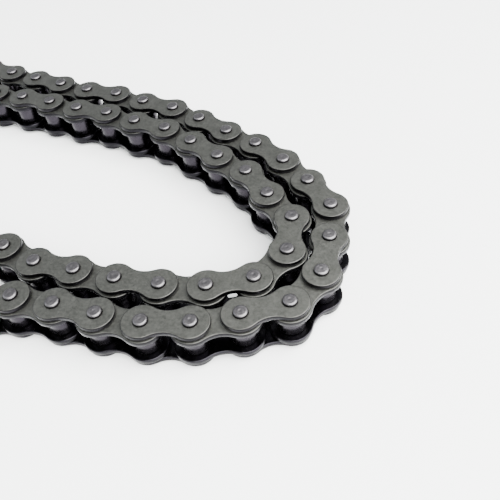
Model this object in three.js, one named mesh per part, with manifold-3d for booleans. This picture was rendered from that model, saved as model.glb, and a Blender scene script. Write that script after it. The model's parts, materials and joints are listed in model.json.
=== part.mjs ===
// A roller chain of 12.7 mm pitch, lying on its side in a doubled loop.
//
// Pin links (two outer plates pressed onto two riveted pins) alternate with roller links
// (two inner plates pressed onto two bushes, a free-turning roller on each bush). Every pin
// runs in a bush of the next link, so every pin is a hinge about the vertical axis.
// Both free ends are roller links, ready for a connecting link.
//
// Millimetres. +Z is up and along the pins. The pin ends stand on z = 0, and the origin is
// under the middle of the lying chain. +X is the length of the loop.

import * as THREE from "three";
import { mergeVertices } from "three/addons/utils/BufferGeometryUtils.js";
import Module from "manifold-3d";

const wasm = await Module();
wasm.setup();

// Chain size
const PITCH = 12.7;
const ROLLER_R = 3.875;
const ROLLER_BORE_R = 2.95;
const BUSH_R = 2.8;
const BUSH_BORE_R = 2.22;
const PIN_R = 1.98;
const INNER_WIDTH = 6.35;
const PLATE_T = 1.5;
const OUTER_PLATE = { endR: 5.2, waistR: 3.5 };
const INNER_PLATE = { endR: 5.9, waistR: 4.2 };

// Clearances
const PLATE_GAP = 0.15;
const PIN_PROUD = 1.0;
const PRESS_GAP = 0.05;
const ROLLER_END_GAP = 0.1;

// Facets
const PLATE_END_FACETS = 7;
const PIN_FACETS = 8;
const BUSH_FACETS = 12;

// Heights up the pin, from the ends that the chain lies on
const OUTER_LOW_Z = PIN_PROUD;
const INNER_LOW_Z = OUTER_LOW_Z + PLATE_T + PLATE_GAP;
const ROLLER_Z = INNER_LOW_Z + PLATE_T;
const INNER_HIGH_Z = ROLLER_Z + INNER_WIDTH;
const OUTER_HIGH_Z = INNER_HIGH_Z + PLATE_T + PLATE_GAP;
const PIN_LENGTH = OUTER_HIGH_Z + PLATE_T + PIN_PROUD;
const BUSH_LENGTH = INNER_WIDTH + 2 * PLATE_T;

// How the chain lies: the heading of each link in degrees. The fold joins the two strands
// at their left ends. Each strand runs from the fold along its lower arm, round its turn at
// the right and back along its upper arm to its free end.
const FOLD = [201, 184, 130, 56, 3];
const OUTER_STRAND = [
  ...[3, 0, 3, 14, 27, 31],
  ...[66, 94, 102, 136, 142, 151],
  ...[159, 158, 160, 172, 168, 178, 172, 172, 171, 170, 168, 166, 164],
];
const INNER_STRAND = [
  ...[-14, 1, 0, 5, 12, 27],
  ...[63, 100, 141, 139],
  ...[155, 155, 157, 172, 168, 178, 172, 176, 177, 178, 179],
];

const STEEL = {
  plate: { color: 0x77746f, roughness: 0.45, metalness: 0.9 },
  pin: { color: 0x8a8784, roughness: 0.35, metalness: 0.95 },
  bush: { color: 0x4a4848, roughness: 0.4, metalness: 0.9 },
  roller: { color: 0x4c4852, roughness: 0.3, metalness: 0.9 },
};
const finish = Object.fromEntries(
  Object.entries(STEEL).map(([name, look]) => [name, new THREE.MeshStandardMaterial(look)]),
);

// Closed three.js geometry to a solid that can be cut and joined
function toSolid(geometry) {
  geometry.deleteAttribute("normal");
  geometry.deleteAttribute("uv");
  const merged = mergeVertices(geometry, 1e-4);
  return new wasm.Manifold(
    new wasm.Mesh({
      numProp: 3,
      vertProperties: Float32Array.from(merged.attributes.position.array),
      triVerts: Uint32Array.from(merged.index.array),
    }),
  );
}

function toGeometry(solid) {
  const mesh = solid.getMesh();
  const geometry = new THREE.BufferGeometry();
  geometry.setAttribute("position", new THREE.BufferAttribute(mesh.vertProperties, 3));
  geometry.setIndex(new THREE.BufferAttribute(mesh.triVerts, 1));
  geometry.computeVertexNormals();
  return geometry;
}

// Upright rod of `facets` sides round the pin at x, from the height z
function rod(x, z, radius, length, facets) {
  const geometry = new THREE.CylinderGeometry(radius, radius, length, facets);
  geometry.rotateX(Math.PI / 2);
  geometry.translate(x, 0, z + length / 2);
  return toSolid(geometry);
}

function tube(x, z, outerR, boreR, length, boreFacets) {
  const bore = rod(x, z - 1, boreR, length + 2, boreFacets);
  return rod(x, z, outerR, length, BUSH_FACETS).subtract(bore);
}

// Figure-of-eight link plate: a round end about each pin, and a hollow waist whose arcs
// touch both round ends
function plate({ endR, waistR }, z) {
  const half = PITCH / 2;
  const hollowR = (half ** 2 + waistR ** 2 - endR ** 2) / (2 * (endR - waistR));
  const sweep = Math.PI - Math.atan2(waistR + hollowR, half);
  const points = [];
  for (const [x, facing, waistSide] of [[PITCH, 0, 1], [0, Math.PI, -1]]) {
    for (let i = 0; i <= PLATE_END_FACETS; i += 1) {
      const angle = facing - sweep + (2 * sweep * i) / PLATE_END_FACETS;
      points.push(new THREE.Vector2(x + endR * Math.cos(angle), endR * Math.sin(angle)));
    }
    points.push(new THREE.Vector2(half, waistSide * waistR));
  }
  const geometry = new THREE.ExtrudeGeometry(new THREE.Shape(points), {
    depth: PLATE_T,
    bevelEnabled: false,
  });
  geometry.translate(0, 0, z);
  return toSolid(geometry);
}

const PIN_PLACES = { a: 0, b: PITCH };

const pin = (x) => rod(x, 0, PIN_R, PIN_LENGTH, PIN_FACETS);
const bush = (x) => tube(x, INNER_LOW_Z, BUSH_R, BUSH_BORE_R, BUSH_LENGTH, PIN_FACETS);
const roller = (x) =>
  tube(
    x,
    ROLLER_Z + ROLLER_END_GAP,
    ROLLER_R,
    ROLLER_BORE_R,
    INNER_WIDTH - 2 * ROLLER_END_GAP,
    BUSH_FACETS,
  );

// A plate with a hole of `radius` for what is pressed into each end
function drilledPlate(size, z, radius, facets) {
  let drilled = plate(size, z);
  for (const x of Object.values(PIN_PLACES)) {
    drilled = drilled.subtract(rod(x, z - 1, radius, PLATE_T + 2, facets));
  }
  return drilled;
}

// The two plates and two pins of a pin link are pressed and riveted into one rigid piece
function pinLink() {
  let link = plate(OUTER_PLATE, OUTER_LOW_Z).add(plate(OUTER_PLATE, OUTER_HIGH_Z));
  for (const x of Object.values(PIN_PLACES)) {
    link = link.add(pin(x));
  }
  return toGeometry(link);
}

// The two plates and two bushes of a roller link are one rigid piece, with its rollers
function rollerLink() {
  let link = plate(INNER_PLATE, INNER_LOW_Z).add(plate(INNER_PLATE, INNER_HIGH_Z));
  for (const x of Object.values(PIN_PLACES)) {
    link = link.add(rod(x, INNER_LOW_Z, ROLLER_R, BUSH_LENGTH, BUSH_FACETS));
  }
  for (const x of Object.values(PIN_PLACES)) {
    link = link.subtract(rod(x, INNER_LOW_Z - 1, BUSH_BORE_R, BUSH_LENGTH + 2, PIN_FACETS));
  }
  return toGeometry(link);
}

// The end roller link, piece by piece
function rollerLinkPieces() {
  const holeR = BUSH_R + PRESS_GAP;
  const pieces = {
    bottom_plate: [drilledPlate(INNER_PLATE, INNER_LOW_Z, holeR, BUSH_FACETS), finish.plate],
    top_plate: [drilledPlate(INNER_PLATE, INNER_HIGH_Z, holeR, BUSH_FACETS), finish.plate],
  };
  for (const [side, x] of Object.entries(PIN_PLACES)) {
    pieces[`bush_${side}`] = [bush(x), finish.bush];
    pieces[`roller_${side}`] = [roller(x), finish.roller];
  }
  return pieces;
}

// The pin link next to it, piece by piece
function pinLinkPieces() {
  const holeR = PIN_R + PRESS_GAP;
  const pieces = {
    bottom_plate: [drilledPlate(OUTER_PLATE, OUTER_LOW_Z, holeR, PIN_FACETS), finish.plate],
    top_plate: [drilledPlate(OUTER_PLATE, OUTER_HIGH_Z, holeR, PIN_FACETS), finish.plate],
  };
  for (const [side, x] of Object.entries(PIN_PLACES)) {
    pieces[`pin_${side}`] = [pin(x), finish.pin];
  }
  return pieces;
}

// Places and headings of the links of one stretch, from the pin `start` on
function walk(start, headings) {
  const places = [];
  let at = start.clone();
  for (const degrees of headings) {
    const heading = THREE.MathUtils.degToRad(degrees);
    const next = at.clone().add(new THREE.Vector2(Math.cos(heading), Math.sin(heading))
      .multiplyScalar(PITCH));
    places.push({ at, next, heading });
    at = next;
  }
  return places;
}

// Links are numbered from the free end of the outer strand to that of the inner strand
const fold = walk(new THREE.Vector2(0, 0), FOLD);
const outerStrand = walk(fold[0].at, OUTER_STRAND);
const innerStrand = walk(fold.at(-1).next, INNER_STRAND);
const links = [...outerStrand.reverse(), ...fold, ...innerStrand];

const chain = new THREE.Group();
const shape = { pin_link: pinLink(), roller_link: rollerLink() };

links.forEach(({ at, heading }, i) => {
  const number = String(i + 1).padStart(2, "0");
  const place = (mesh, name) => {
    mesh.name = name;
    mesh.position.set(at.x, at.y, 0);
    mesh.rotation.z = heading;
    chain.add(mesh);
  };
  if (i < 2) {
    const pieces = i === 0 ? rollerLinkPieces() : pinLinkPieces();
    for (const [piece, [solid, look]] of Object.entries(pieces)) {
      place(new THREE.Mesh(toGeometry(solid), look), `link_${number}_${piece}`);
    }
    return;
  }
  const kind = i % 2 ? "pin_link" : "roller_link";
  place(new THREE.Mesh(shape[kind], finish.plate), `${kind}_${number}`);
});

chain.updateMatrixWorld(true);
const box = new THREE.Box3().setFromObject(chain, true);
const middle = box.getCenter(new THREE.Vector3());
chain.position.set(-middle.x, -middle.y, -box.min.z);

export default chain;
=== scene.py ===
"""A riveted roller chain lying on its side in a doubled loop.

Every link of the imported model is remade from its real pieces: pressed plates with rolled
edges, riveted pins, bushes and rollers. Each piece rides on the body of its own link.
The chain's own sizes are in millimetres, and MM turns them into metres.
"""

import json
import math
import random
from typing import NamedTuple

import bpy
from mathutils import Matrix, Vector
from mathutils.geometry import delaunay_2d_cdt


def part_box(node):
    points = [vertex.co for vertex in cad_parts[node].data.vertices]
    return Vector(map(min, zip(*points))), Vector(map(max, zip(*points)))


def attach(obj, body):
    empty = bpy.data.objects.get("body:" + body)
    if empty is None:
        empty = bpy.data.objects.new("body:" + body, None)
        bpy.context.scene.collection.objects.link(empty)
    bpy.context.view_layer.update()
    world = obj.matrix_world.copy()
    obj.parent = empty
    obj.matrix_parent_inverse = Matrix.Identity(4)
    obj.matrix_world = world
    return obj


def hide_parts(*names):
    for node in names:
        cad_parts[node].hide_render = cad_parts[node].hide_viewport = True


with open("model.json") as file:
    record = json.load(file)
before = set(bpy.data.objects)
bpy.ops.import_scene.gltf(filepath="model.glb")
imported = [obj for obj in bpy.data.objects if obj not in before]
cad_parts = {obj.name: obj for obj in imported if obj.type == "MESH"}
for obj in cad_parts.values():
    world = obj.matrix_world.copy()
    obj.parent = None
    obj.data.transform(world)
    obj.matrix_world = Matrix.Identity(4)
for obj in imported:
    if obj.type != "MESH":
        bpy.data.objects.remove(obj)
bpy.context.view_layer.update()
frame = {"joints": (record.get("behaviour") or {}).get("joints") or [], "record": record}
BODIES = frame["record"]["behaviour"]["bodies"]
MM = 0.001

# ---------------------------------------------------------------- chain sizes, in mm
PITCH = 12.7
ROLLER_R = 3.87
ROLLER_BORE_R = 2.87
BUSH_R = 2.79
BUSH_BORE_R = 2.03
PIN_R = 1.98
INNER_WIDTH = 6.35
PLATE_T = 1.5
PLATE_GAP = 0.15
PIN_PROUD = 1.0
ROLLER_END_GAP = 0.1
OUTER_PLATE = {"end_r": 5.2, "waist_r": 3.45, "hole_r": 1.985}
INNER_PLATE = {"end_r": 5.7, "waist_r": 4.1, "hole_r": 2.795}

OUTER_LOW_Z = PIN_PROUD
INNER_LOW_Z = OUTER_LOW_Z + PLATE_T + PLATE_GAP
ROLLER_Z = INNER_LOW_Z + PLATE_T
INNER_HIGH_Z = ROLLER_Z + INNER_WIDTH
OUTER_HIGH_Z = INNER_HIGH_Z + PLATE_T + PLATE_GAP
PIN_LENGTH = OUTER_HIGH_Z + PLATE_T + PIN_PROUD
BUSH_LENGTH = INNER_WIDTH + 2 * PLATE_T

# Links are numbered from one free end to the other, and this is the last before the fold
FOLD_LINK = 25

# ---------------------------------------------------------------- camera and light
CAMERA_AT = (0.1219, -0.1237, 0.1328)
CAMERA_PAN = 24.0  # degrees, to the left of +Y
CAMERA_TILT = 47.02  # degrees, below the horizon
CAMERA_ROLL = -7.55
CAMERA_LENS = 43.15
CAMERA_SENSOR = 36.0
CAMERA_CLIP = (0.005, 20.0)

SKY_COLOUR = (0.93, 0.96, 1.0)
SKY_STRENGTH = 0.78
# Name, place (right, back and up from the origin), edge length, watts and colour
SOFTBOXES = (
    ("key", (0.5, -0.45, 0.74), 1.6, 126.0, (1.0, 0.995, 0.98)),
    ("fill", (-0.9, 0.1, 0.6), 0.8, 5.0, (0.9, 0.95, 1.0)),
)
FLOOR_HALF_WIDTH = 3.0
FLOOR_COLOUR = (0.93, 0.945, 0.94)
FLOOR_ROUGHNESS = 0.55


def make_camera():
    """Looks down at the turn of the chain, rolled a little to the left."""
    pan, tilt, roll = (math.radians(a) for a in (CAMERA_PAN, CAMERA_TILT, CAMERA_ROLL))
    right = Vector((1, 0, 0))
    ahead = Vector((0, math.cos(tilt), -math.sin(tilt)))
    up = Vector((0, math.sin(tilt), math.cos(tilt)))
    across = math.cos(roll) * right + math.sin(roll) * up
    upward = math.cos(roll) * up - math.sin(roll) * right
    axes = Matrix((across, upward, -ahead)).transposed().to_4x4()
    data = bpy.data.cameras.new("camera")
    data.lens = CAMERA_LENS
    data.sensor_width = CAMERA_SENSOR
    data.clip_start, data.clip_end = CAMERA_CLIP
    camera = bpy.data.objects.new("camera", data)
    camera.matrix_world = (
        Matrix.Translation(CAMERA_AT) @ Matrix.Rotation(pan, 4, "Z") @ axes
    )
    bpy.context.collection.objects.link(camera)
    bpy.context.scene.camera = camera


def make_softbox(name, at, size, watts, colour):
    """A square area light that faces the origin."""
    data = bpy.data.lights.new(name, "AREA")
    data.shape = "SQUARE"
    data.size = size
    data.energy = watts
    data.color = colour
    light = bpy.data.objects.new(name, data)
    light.location = at
    light.rotation_euler = (-at).to_track_quat("-Z", "Y").to_euler()
    bpy.context.collection.objects.link(light)


def make_studio():
    """An even pale sky and two softboxes, which are turned to the camera's pan."""
    world = bpy.data.worlds.new("studio")
    bpy.context.scene.world = world
    world.use_nodes = True
    sky = world.node_tree.nodes["Background"]
    sky.inputs["Color"].default_value = (*SKY_COLOUR, 1.0)
    sky.inputs["Strength"].default_value = SKY_STRENGTH
    pan = Matrix.Rotation(math.radians(CAMERA_PAN), 3, "Z")
    for name, at, size, watts, colour in SOFTBOXES:
        make_softbox(name, pan @ Vector(at), size, watts, colour)


def make_floor():
    mesh = bpy.data.meshes.new("floor")
    corners = [
        (x * FLOOR_HALF_WIDTH, y * FLOOR_HALF_WIDTH, 0)
        for x, y in ((-1, -1), (1, -1), (1, 1), (-1, 1))
    ]
    mesh.from_pydata(corners, [], [(0, 1, 2, 3)])
    floor = bpy.data.objects.new("floor", mesh)
    bpy.context.collection.objects.link(floor)
    material = bpy.data.materials.new("floor")
    material.use_nodes = True
    surface = material.node_tree.nodes["Principled BSDF"]
    surface.inputs["Base Color"].default_value = (*FLOOR_COLOUR, 1.0)
    surface.inputs["Roughness"].default_value = FLOOR_ROUGHNESS
    mesh.materials.append(material)


# ---------------------------------------------------------------- materials
# The two value sockets and the result socket of a Mix node, by what it mixes
MIX_SOCKETS = {"RGBA": (6, 7, 2), "FLOAT": (2, 3, 0)}


class Nodes:
    """Short calls for building a material's nodes."""

    def __init__(self, name):
        self.material = bpy.data.materials.new(name)
        self.material.use_nodes = True
        self.tree = self.material.node_tree
        self.surface = self.tree.nodes["Principled BSDF"]
        self.place = self.add("ShaderNodeTexCoord").outputs["Object"]

    def add(self, kind, **settings):
        node = self.tree.nodes.new(kind)
        for key, value in settings.items():
            setattr(node, key, value)
        return node

    def put(self, value, socket):
        """Links a node's output to a socket, or sets the socket to a colour or a number."""
        if isinstance(value, bpy.types.NodeSocket):
            self.tree.links.new(value, socket)
        elif isinstance(value, tuple):
            socket.default_value = (*value, 1.0)
        else:
            socket.default_value = value

    def noise(self, size_mm, detail, rough=0.55):
        """Noise with features of about this size, from 0 to 1."""
        node = self.add("ShaderNodeTexNoise")
        self.put(1 / (size_mm * MM), node.inputs["Scale"])
        self.put(detail, node.inputs["Detail"])
        self.put(rough, node.inputs["Roughness"])
        self.put(self.place, node.inputs["Vector"])
        return node.outputs["Fac"]

    def ramp(self, value, low, high, start=0.0, end=1.0):
        """Maps value from low..high onto start..end, clamped."""
        node = self.add("ShaderNodeMapRange")
        self.put(value, node.inputs["Value"])
        for key, number in zip(("From Min", "From Max", "To Min", "To Max"),
                               (low, high, start, end)):
            self.put(number, node.inputs[key])
        return node.outputs["Result"]

    def attribute(self, name):
        return self.add("ShaderNodeAttribute", attribute_name=name).outputs["Fac"]

    def maths(self, kind, a, b):
        node = self.add("ShaderNodeMath", operation=kind)
        self.put(a, node.inputs[0])
        self.put(b, node.inputs[1])
        return node.outputs["Value"]

    def mix(self, factor, a, b, kind="RGBA"):
        """Goes from a to b as the factor goes from 0 to 1."""
        node = self.add("ShaderNodeMix", data_type=kind)
        first, second, result = MIX_SOCKETS[kind]
        self.put(factor, node.inputs["Factor"])
        self.put(a, node.inputs[first])
        self.put(b, node.inputs[second])
        return node.outputs[result]

    def bump(self, height, strength, depth_mm, normal=None):
        node = self.add("ShaderNodeBump")
        self.put(strength, node.inputs["Strength"])
        self.put(depth_mm * MM, node.inputs["Distance"])
        self.put(height, node.inputs["Height"])
        if normal:
            self.put(normal, node.inputs["Normal"])
        return node.outputs["Normal"]


def steel(name, light, dark, worn, side_painted_shade, oil_and_shade, roughness, oily_roughness, pits=0.3):
    """Tumbled, heat-treated steel: a mottled satin face, paler where its edges are rubbed,
    side walls painted near-black as painted shade, and a dark film on the sides that face into
    the chain, partly oil and partly painted shade."""
    n = Nodes(name)
    blotch = n.ramp(n.noise(3.5, detail=3), 0.35, 0.68)
    grain = n.ramp(n.noise(0.8, detail=6, rough=0.78), 0.36, 0.64)
    speck = n.ramp(n.noise(0.9, detail=6, rough=0.75), 0.58, 0.74)
    stain = n.ramp(n.noise(0.6, detail=5, rough=0.7), 0.40, 0.30)
    mottle = n.maths("ADD", n.maths("MULTIPLY", blotch, 0.4), n.maths("MULTIPLY", grain, 0.6))
    body = n.mix(mottle, dark, light)
    body = n.mix(n.maths("MULTIPLY", speck, 0.45), body, worn)
    body = n.mix(n.maths("MULTIPLY", stain, 0.5), body, oil_and_shade)

    patchy_wear = n.ramp(n.noise(1.6, detail=4), 0.35, 0.65, 0.1, 0.7)
    body = n.mix(n.maths("MULTIPLY", n.attribute("rim"), patchy_wear), body, worn)
    # Painted shade: side walls, bevels and pin flanks take a near-black colour that stands in for
    # shade and dark reflections.
    body = n.mix(n.attribute("side"), body, side_painted_shade)
    # Painted shade, partly real oil: faces that look into the chain get a dark, glossier film.
    patchy_oil_and_shade = n.ramp(n.noise(1.2, detail=4, rough=0.65), 0.25, 0.55, 0.75, 1.0)
    film = n.maths("MULTIPLY", n.attribute("oil_and_shade"), patchy_oil_and_shade)
    n.put(n.mix(film, body, oil_and_shade), n.surface.inputs["Base Color"])

    dry_roughness = n.ramp(grain, 0, 1, roughness - 0.05, roughness + 0.07)
    shine = n.mix(film, dry_roughness, oily_roughness, kind="FLOAT")
    n.put(shine, n.surface.inputs["Roughness"])
    n.put(1.0, n.surface.inputs["Metallic"])
    fine = n.bump(n.noise(0.3, detail=5, rough=0.75), pits * 1.3, 0.03)
    dents = n.bump(n.noise(1.3, detail=3, rough=0.5), pits, 0.05, fine)
    n.put(dents, n.surface.inputs["Normal"])
    return n.material


def make_looks():
    return {
        # Each look's near-black side colour is painted shade on side walls; its oil colour serves
        # oil stains and a film that is partly painted shade.
        "plate": steel("plate_steel", light=(0.129, 0.131, 0.12), dark=(0.071, 0.073, 0.066),
                       worn=(0.175, 0.17, 0.16), side_painted_shade=(0.0068, 0.0064, 0.0074),
                       oil_and_shade=(0.016, 0.015, 0.018), roughness=0.45, oily_roughness=0.24),
        "pin": steel("pin_steel", light=(0.145, 0.139, 0.145), dark=(0.09, 0.086, 0.09),
                     worn=(0.175, 0.168, 0.172), side_painted_shade=(0.013, 0.012, 0.014),
                     oil_and_shade=(0.03, 0.028, 0.03), roughness=0.4, oily_roughness=0.22),
        "bush": steel("bush_steel", light=(0.08, 0.074, 0.082), dark=(0.05, 0.046, 0.052),
                      worn=(0.15, 0.14, 0.15), side_painted_shade=(0.03, 0.028, 0.031),
                      oil_and_shade=(0.02, 0.018, 0.021), roughness=0.34, oily_roughness=0.2),
        "roller": steel("roller_steel", light=(0.031, 0.029, 0.033), dark=(0.019, 0.0178, 0.0205),
                        worn=(0.045, 0.041, 0.048), side_painted_shade=(0.014, 0.013, 0.015),
                        oil_and_shade=(0.024, 0.02, 0.027), roughness=0.28, oily_roughness=0.22, pits=0.12),
    }


# ---------------------------------------------------------------- plates
END_STEPS = 30
WAIST_STEPS = 8
HOLE_STEPS = 28
HOLE_CHAMFER = 0.12

# Sheared and tumbled edge, from one face to the middle of the wall: how far in, how high, and
# how much it counts as rubbed rim and as side painted dark as painted shade
HALF_EDGE = (
    (0.30, 0.0, 0.0, 0.0), (0.14, 0.03, 0.35, 0.5), (0.04, 0.11, 0.1, 0.95), (0.0, 0.24, 0.0, 1.0),
)
EDGE = HALF_EDGE + tuple(
    (inset, PLATE_T - height, rim, side) for inset, height, rim, side in reversed(HALF_EDGE)
)
# The wall of a hole in the same way, from how far outside its bore each point is
HOLE_EDGE = (
    (HOLE_CHAMFER, 0.0, 0.0, 0.0), (0.0, HOLE_CHAMFER, 0.0, 1.0),
    (0.0, PLATE_T - HOLE_CHAMFER, 0.0, 1.0), (HOLE_CHAMFER, PLATE_T, 0.0, 0.0),
)

# The triangulation keeps only what is inside the outer loop, and merges points this close
INSIDE_ONLY = 1
MERGE_MM = 1e-6
# The middle of a triangle that spans a hole is within this share of the hole's radius
IN_HOLE = 0.985


def finish_mesh(name, points, faces, flat, amounts, material):
    """One mesh with its amounts of rim, side in painted shade, and oil film that is partly painted
    shade, stored at each point. The faces whose numbers are in `flat` aren't smooth."""
    mesh = bpy.data.meshes.new(name)
    mesh.from_pydata([Vector(p) * MM for p in points], [], faces)
    for key, values in zip(("rim", "side", "oil_and_shade"), zip(*amounts)):
        layer = mesh.attributes.new(key, "FLOAT", "POINT")
        layer.data.foreach_set("value", values)
    mesh.polygons.foreach_set("use_smooth", [i not in flat for i in range(len(faces))])
    mesh.materials.append(material)
    return mesh


def outline(size, inset):
    """Figure-of-eight outline, drawn in by `inset`: a round end about each pin and a hollow
    waist whose arcs touch both round ends."""
    half = PITCH / 2
    end_r, waist_r = size["end_r"], size["waist_r"]
    hollow_r = (half**2 + waist_r**2 - end_r**2) / (2 * (end_r - waist_r))
    to_hollow = math.atan2(waist_r + hollow_r, half)
    sweep = math.pi - to_hollow
    lean = math.pi / 2 - to_hollow
    points = []
    for x, facing, side in ((PITCH, 0.0, 1), (0.0, math.pi, -1)):
        for i in range(END_STEPS + 1):
            angle = facing - sweep + 2 * sweep * i / END_STEPS
            r = end_r - inset
            points.append((x + r * math.cos(angle), r * math.sin(angle)))
        for i in range(1, WAIST_STEPS):
            angle = -side * math.pi / 2 + lean * (1 - 2 * i / WAIST_STEPS)
            r = hollow_r + inset
            points.append(
                (half + r * math.cos(angle), side * (waist_r + hollow_r) + r * math.sin(angle))
            )
    return points


def circle(x, r):
    turns = [2 * math.pi * i / HOLE_STEPS for i in range(HOLE_STEPS)]
    return [(x + r * math.cos(t), r * math.sin(t)) for t in turns]


def plate_mesh(name, size, z, oil_and_shade_side, material):
    """A plate pressed from strip. Its oil-and-shade side is 1 if its upper face looks into the
    chain, and the face that looks into the chain gets a dark film that is partly oil and partly
    painted shade.
    """
    points, faces, amounts = [], [], []

    def add_ring(ring, height, rim, side):
        start = len(points)
        share = height / PLATE_T
        points.extend((x, y, z + height) for x, y in ring)
        # The face that looks into the chain gets the dark film, partly oil and partly painted
        # shade.
        amounts.extend([(rim, side, share if oil_and_shade_side > 0 else 1 - share)] * len(ring))
        return list(range(start, start + len(ring)))

    def join(a, b):
        count = len(a)
        faces.extend((a[i], a[(i + 1) % count], b[(i + 1) % count], b[i]) for i in range(count))

    rings = [add_ring(outline(size, inset), height, rim, side)
             for inset, height, rim, side in EDGE]
    for a, b in zip(rings, rings[1:]):
        join(a, b)
    low_loops, high_loops = [rings[0]], [rings[-1]]
    for x in (0.0, PITCH):
        holes = [add_ring(circle(x, size["hole_r"] + widen), height, rim, side)
                 for widen, height, rim, side in HOLE_EDGE]
        for a, b in zip(holes, holes[1:]):
            join(b, a)
        low_loops.append(holes[0])
        high_loops.append(holes[-1])
    flat = set()
    for loops, upward in ((low_loops, False), (high_loops, True)):
        for face in fill(points, loops, size["hole_r"] + HOLE_CHAMFER, upward):
            flat.add(len(faces))
            faces.append(face)
    return finish_mesh(name, points, faces, flat, amounts, material)


def fill(points, loops, hole_r, upward):
    """Triangles between the outer loop and the two holes."""
    order = [i for loop in loops for i in loop]
    flat_points = [Vector(points[i][:2]) for i in order]
    edges, start = [], 0
    for loop in loops:
        count = len(loop)
        edges += [(start + i, start + (i + 1) % count) for i in range(count)]
        start += count
    _, _, triangles, original, _, _ = delaunay_2d_cdt(
        flat_points, edges, [], INSIDE_ONLY, MERGE_MM
    )
    for triangle in triangles:
        corners = [order[original[i][0]] for i in triangle]
        a, b, c = (Vector(points[i][:2]) for i in corners)
        middle = (a + b + c) / 3
        if min(middle.length, (middle - Vector((PITCH, 0))).length) < hole_r * IN_HOLE:
            continue
        turns_left = (b - a).cross(c - a) > 0
        yield tuple(corners if turns_left == upward else reversed(corners))


# ---------------------------------------------------------------- pins, bushes and rollers
PIN_STEPS = 36
BUSH_STEPS = 32
ROLLER_STEPS = 48
BUSH_EDGE = 0.12
ROLLER_EDGE = 0.25
BUSH_OIL = 0.4
ROLLER_OIL = 0.5
SHANK_OIL = 0.8
# The steepest slope of a riveted end's rubbed rim, since no two ends spread alike
RIVET_LEAN = 0.03

# A riveted end from its centre to the shank: radius, depth below the tip, rim and side, where side
# is painted shade on the flank. It is a shallow dish in a raised ring, a round shoulder, and a
# swell where it spread on the plate.
PIN_END = (
    (0.0, 0.11, 0.0, 0.1), (0.22, 0.10, 0.0, 0.1), (0.42, 0.05, 0.0, 0.0),
    (0.56, 0.035, 0.1, 0.0), (1.02, 0.035, 0.0, 0.0), (1.12, 0.05, 0.0, 0.0),
    (1.22, 0.035, 0.1, 0.0), (1.45, 0.05, 0.3, 0.0), (1.64, 0.11, 0.6, 0.0),
    (1.80, 0.22, 0.8, 0.1), (1.92, 0.37, 0.4, 0.5), (1.98, 0.56, 0.0, 1.0),
    (2.0, 0.80, 0.0, 1.0), (PIN_R, 0.985, 0.0, 1.0),
)


def pin_profile():
    low = [(r, depth, rim, side, 0.0) for r, depth, rim, side in PIN_END]
    # The shank's side is painted dark as painted shade, and the shank takes the oil film.
    shank = [(PIN_R, z, 0.0, 1.0, SHANK_OIL) for z in (INNER_LOW_Z, PIN_LENGTH - INNER_LOW_Z)]
    high = [(r, PIN_LENGTH - depth, rim, side, 0.0) for r, depth, rim, side in reversed(PIN_END)]
    return low + shank + high


def tube_profile(outer_r, bore_r, low, high, edge, oil_and_shade):
    """Tube wall with rounded ends, from the bore round to the outside and back."""
    middle = (low + high) / 2
    corner = edge * 0.3
    wall = [
        (bore_r, high - edge, 0.0), (bore_r, middle, 0.0), (bore_r, low + edge, 0.0),
        (bore_r + corner, low + corner, 0.5), (bore_r + edge, low, 0.3),
        (outer_r - edge, low, 0.3), (outer_r - corner, low + corner, 0.5),
        (outer_r, low + edge, 0.1), (outer_r, middle, 0.0), (outer_r, high - edge, 0.1),
        (outer_r - corner, high - corner, 0.5), (outer_r - edge, high, 0.3),
        (bore_r + edge, high, 0.3), (bore_r + corner, high - corner, 0.5),
    ]
    return [(r, height, rim, 0.0, oil_and_shade) for r, height, rim in wall]


def lathe_mesh(name, profile, x, steps, material, lean=(0.0, 0.0)):
    """Turns (radius, height, rim, side in painted shade, oil film that is partly painted shade)
    points about the upright axis at x. A profile that starts and ends on the axis makes a solid
    pin, and any other closes on itself. `lean` is the slope of the rubbed rims along X and Y."""
    points, faces, amounts, rings = [], [], [], []
    for r, height, rim, side, oil_and_shade in profile:
        start = len(points)
        count = 1 if r == 0 else steps
        for i in range(count):
            angle = 2 * math.pi * i / steps
            px, py = r * math.cos(angle), r * math.sin(angle)
            points.append((x + px, py, height + (lean[0] * px + lean[1] * py) * rim))
        amounts.extend([(rim, side, oil_and_shade)] * count)
        rings.append(list(range(start, start + count)))
    pairs = list(zip(rings, rings[1:]))
    if profile[0][0] != 0:
        pairs.append((rings[-1], rings[0]))
    for low, high in pairs:
        for i in range(steps):
            j = (i + 1) % steps
            if len(low) == 1:
                faces.append((low[0], high[j], high[i]))
            elif len(high) == 1:
                faces.append((low[i], low[j], high[0]))
            else:
                faces.append((low[i], low[j], high[j], high[i]))
    return finish_mesh(name, points, faces, set(), amounts, material)


# ---------------------------------------------------------------- the links
class Link(NamedTuple):
    """A link's number and body, its first pin place, and the way from there to the second."""

    number: int
    body: str
    start: Vector
    along: Vector


def find_links():
    """The links in order, from the frame. Each starts at its pin place nearer the fold."""
    hinges = {}
    for joint in frame["joints"]:
        if joint["name"].startswith("hinge_"):
            hinges[int(joint["name"][-2:])] = Vector(joint["pos_m"])
    links = []
    for number in sorted(int(body[-2:]) for body in BODIES if body[:-2] == "link_"):
        body = f"link_{number:02d}"
        low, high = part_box(BODIES[body][0])
        middle = (low + high) / 2
        here, there = hinges.get(number - 1), hinges.get(number)
        if here is None:
            here = 2 * middle - there
        if there is None:
            there = 2 * middle - here
        if number <= FOLD_LINK:
            here, there = there, here
        links.append(Link(number, body, here, there - here))
    return links


def own_nodes(body, part):
    """The body's node of that part, or every node of a link that is a single solid."""
    own = f"{body}_{part}"
    return [own] if own in BODIES[body] else BODIES[body]


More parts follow.
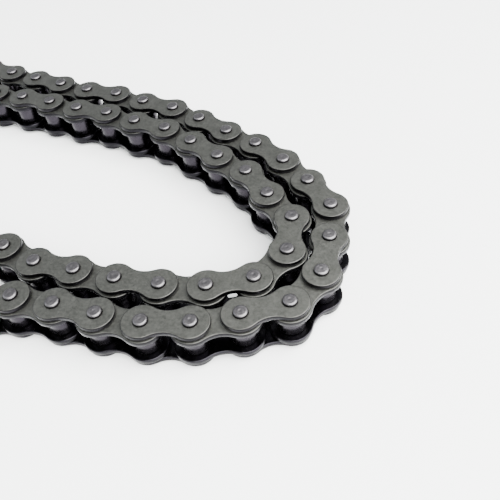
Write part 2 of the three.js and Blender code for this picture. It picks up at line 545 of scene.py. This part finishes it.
def place(mesh, link, body, nodes):
    """Turns a mesh made along +X from the origin onto its link."""
    turn = Matrix.Rotation(math.atan2(link.along.y, link.along.x), 4, "Z")
    mesh.transform(Matrix.Translation((link.start.x, link.start.y, 0)) @ turn)
    piece = bpy.data.objects.new(mesh.name, mesh)
    bpy.context.collection.objects.link(piece)
    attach(piece, body)
    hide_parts(*nodes)


def make_plates(link, kind, size, low_z, high_z, looks):
    for level, z, oil_and_shade_side in (("bottom", low_z, 1), ("top", high_z, -1)):
        name = f"chain_{link.body}_{kind}_plate_{level}"
        mesh = plate_mesh(name, size, z, oil_and_shade_side, looks["plate"])
        place(mesh, link, link.body, own_nodes(link.body, f"{level}_plate"))


def make_pin_link(link, looks, rng):
    make_plates(link, "outer", OUTER_PLATE, OUTER_LOW_Z, OUTER_HIGH_Z, looks)
    for letter, x in (("a", 0.0), ("b", PITCH)):
        lean = (rng.uniform(-RIVET_LEAN, RIVET_LEAN), rng.uniform(-RIVET_LEAN, RIVET_LEAN))
        name = f"chain_{link.body}_rivet_pin_{letter}"
        mesh = lathe_mesh(name, pin_profile(), x, PIN_STEPS, looks["pin"], lean)
        place(mesh, link, link.body, own_nodes(link.body, f"pin_{letter}"))


def make_roller_link(link, looks):
    make_plates(link, "inner", INNER_PLATE, INNER_LOW_Z, INNER_HIGH_Z, looks)
    bush = tube_profile(
        BUSH_R, BUSH_BORE_R, INNER_LOW_Z, INNER_LOW_Z + BUSH_LENGTH, BUSH_EDGE, BUSH_OIL
    )
    roller = tube_profile(
        ROLLER_R, ROLLER_BORE_R, ROLLER_Z + ROLLER_END_GAP,
        ROLLER_Z + INNER_WIDTH - ROLLER_END_GAP, ROLLER_EDGE, ROLLER_OIL,
    )
    for letter, x in (("a", 0.0), ("b", PITCH)):
        name = f"chain_{link.body}_bush_tube_{letter}"
        mesh = lathe_mesh(name, bush, x, BUSH_STEPS, looks["bush"])
        place(mesh, link, link.body, own_nodes(link.body, f"bush_{letter}"))

        spinning = f"{link.body}_roller_{letter}"
        body = spinning if spinning in BODIES else link.body
        name = f"chain_{link.body}_roller_tube_{letter}"
        mesh = lathe_mesh(name, roller, x, ROLLER_STEPS, looks["roller"])
        place(mesh, link, body, BODIES[body])


def make_chain():
    looks = make_looks()
    rng = random.Random(420)
    for link in find_links():
        if link.number % 2:
            make_roller_link(link, looks)
        else:
            make_pin_link(link, looks, rng)


make_camera()
make_studio()
make_floor()
make_chain()
